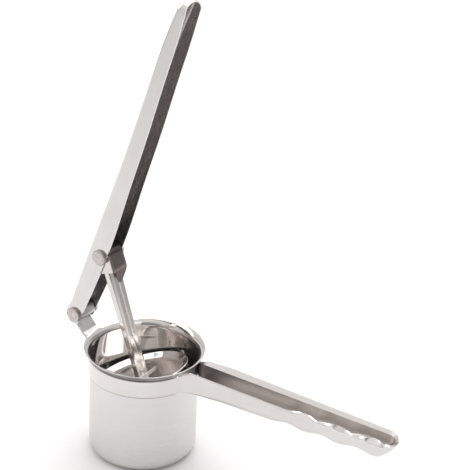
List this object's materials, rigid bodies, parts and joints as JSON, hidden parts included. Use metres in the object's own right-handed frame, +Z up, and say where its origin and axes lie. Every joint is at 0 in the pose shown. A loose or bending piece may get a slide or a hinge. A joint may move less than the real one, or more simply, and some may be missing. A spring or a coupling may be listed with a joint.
{
  "type": "potato ricer",
  "caption": "Lever-action potato ricer: a perforated steel cup held in the collar of a channel handle, with a hinged lever that drives a dished press plate down the cup.",
  "frame": {"origin": "on the cup's axis, at the underside of its base", "axes": "+Z up along the cup's axis, +X along the lower handle away from the cup, -Y the side of the finger grooves"},
  "size_m": [0.2804, 0.093, 0.3617],
  "materials": {
    "cup_steel": "satin outside and mirror-polished rim and inside, drawn stainless sheet",
    "handle_steel": "satin-polished pressed stainless sheet",
    "plate_steel": "polished folded stainless sheet",
    "rivet_steel": "satin stainless rivet"
  },
  "bodies": {
    "frame": {"frame_handle": "handle_steel", "hinge_lug": "plate_steel"},
    "cup": {"hopper": "cup_steel"},
    "lever": {"lever": "handle_steel", "hinge_pin": "rivet_steel", "plunger_pin": "rivet_steel"},
    "plunger": {"plunger_bracket": "plate_steel", "plunger_arm": "plate_steel", "plunger_foot": "plate_steel", "press_plate": "cup_steel"}
  },
  "joints": [
    {"name": "lever_hinge", "type": "hinge", "parent": "frame", "child": "lever", "pos_m": [-0.0605, 0, 0.0994], "axis": [0, 1, 0], "range_deg": [0, 57.5]},
    {"name": "plunger_pivot", "type": "hinge", "parent": "lever", "child": "plunger", "pos_m": [-0.03603, 0, 0.15617], "axis": [0, 1, 0], "range_deg": [-35.5, 0]},
    {"name": "cup_turn", "type": "hinge", "parent": "frame", "child": "cup", "pos_m": [0, 0, 0.04], "axis": [0, 0, 1], "continuous": true}
  ],
  "couplings": [
    {"joint": "plunger_pivot", "follows": "lever_hinge", "ratio": -0.617}
  ]
}
